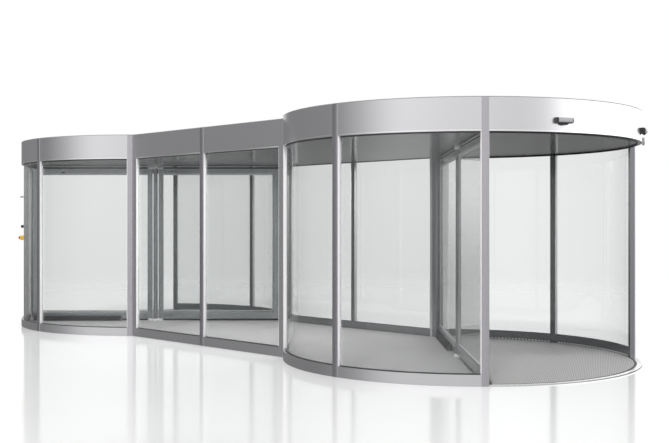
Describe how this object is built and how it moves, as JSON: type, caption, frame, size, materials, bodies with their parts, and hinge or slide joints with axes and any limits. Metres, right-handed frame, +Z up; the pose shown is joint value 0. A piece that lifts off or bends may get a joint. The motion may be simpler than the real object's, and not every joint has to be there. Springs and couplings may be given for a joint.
{
  "type": "double revolving door with connecting passage",
  "caption": "Two glazed revolving-door drums with two-wing rotors, joined by a straight glazed passage, under one flat canopy.",
  "frame": {"origin": "on the floor, midway between the two drum centres", "axes": "+X runs along the passage towards the right drum, +Y to the back wall, +Z up"},
  "size_m": [9.0796, 3.664, 2.5],
  "materials": {
    "satin_aluminium": "satin anodised",
    "clear_glass": "clear, polished",
    "ceiling_panel": "gloss",
    "roof_sheet": "satin",
    "entrance_mat": "ribbed textile matting",
    "mat_ring": "dark anodised",
    "threshold_plate": "polished",
    "detector_plastic": "fine texture",
    "stop_plastic": "gloss",
    "switch_metal": "satin black",
    "pivot_chrome": "polished",
    "seal_rubber": "matt brush and rubber",
    "guard_rubber": "matt"
  },
  "bodies": {
    "structure": {"right_canopy": "satin_aluminium", "left_canopy": "satin_aluminium", "passage_canopy": "satin_aluminium", "drum_ceilings": "ceiling_panel", "passage_ceiling": "ceiling_panel", "drum_roofs": "roof_sheet", "passage_roof": "roof_sheet", "right_front_base": "satin_aluminium", "right_back_base": "satin_aluminium", "left_front_base": "satin_aluminium", "left_back_base": "satin_aluminium", "passage_bases": "satin_aluminium", "right_front_glass": "clear_glass", "right_back_glass": "clear_glass", "left_front_glass": "clear_glass", "left_back_glass": "clear_glass", "passage_glass": "clear_glass", "right_drum_posts": "satin_aluminium", "left_drum_posts": "satin_aluminium", "passage_posts": "satin_aluminium", "drum_mats": "entrance_mat", "passage_mat": "entrance_mat", "floor_rings": "mat_ring", "thresholds": "threshold_plate", "motion_detectors": "detector_plastic", "post_sensors": "detector_plastic", "control_column": "satin_aluminium", "emergency_stop": "stop_plastic", "key_switch": "switch_metal"},
    "right_rotor": {"right_pole": "satin_aluminium", "right_pivot_castings": "pivot_chrome"},
    "left_rotor": {"left_pole": "satin_aluminium", "left_pivot_castings": "pivot_chrome"},
    "right_front_leaf": {"right_front_leaf_frame": "satin_aluminium", "right_front_leaf_glass": "clear_glass", "right_front_leaf_seals": "seal_rubber", "right_front_leaf_guard": "guard_rubber"},
    "right_back_leaf": {"right_back_leaf_frame": "satin_aluminium", "right_back_leaf_glass": "clear_glass", "right_back_leaf_seals": "seal_rubber", "right_back_leaf_guard": "guard_rubber"},
    "left_front_leaf": {"left_front_leaf_frame": "satin_aluminium", "left_front_leaf_glass": "clear_glass", "left_front_leaf_seals": "seal_rubber", "left_front_leaf_guard": "guard_rubber"},
    "left_back_leaf": {"left_back_leaf_frame": "satin_aluminium", "left_back_leaf_glass": "clear_glass", "left_back_leaf_seals": "seal_rubber", "left_back_leaf_guard": "guard_rubber"}
  },
  "joints": [
    {"name": "right_rotation", "type": "hinge", "parent": "structure", "child": "right_rotor", "pos_m": [2.71, 0, 0], "axis": [0, 0, 1], "continuous": true},
    {"name": "left_rotation", "type": "hinge", "parent": "structure", "child": "left_rotor", "pos_m": [-2.71, 0, 0], "axis": [0, 0, 1], "continuous": true},
    {"name": "right_front_fold", "type": "hinge", "parent": "right_rotor", "child": "right_front_leaf", "pos_m": [2.76374, -0.05374, 0], "axis": [0, 0, 1], "range_deg": [-90, 90]},
    {"name": "right_back_fold", "type": "hinge", "parent": "right_rotor", "child": "right_back_leaf", "pos_m": [2.65626, 0.05374, 0], "axis": [0, 0, 1], "range_deg": [-90, 90]},
    {"name": "left_front_fold", "type": "hinge", "parent": "left_rotor", "child": "left_front_leaf", "pos_m": [-2.76374, -0.05374, 0], "axis": [0, 0, 1], "range_deg": [-90, 90]},
    {"name": "left_back_fold", "type": "hinge", "parent": "left_rotor", "child": "left_back_leaf", "pos_m": [-2.65626, 0.05374, 0], "axis": [0, 0, 1], "range_deg": [-90, 90]}
  ]
}
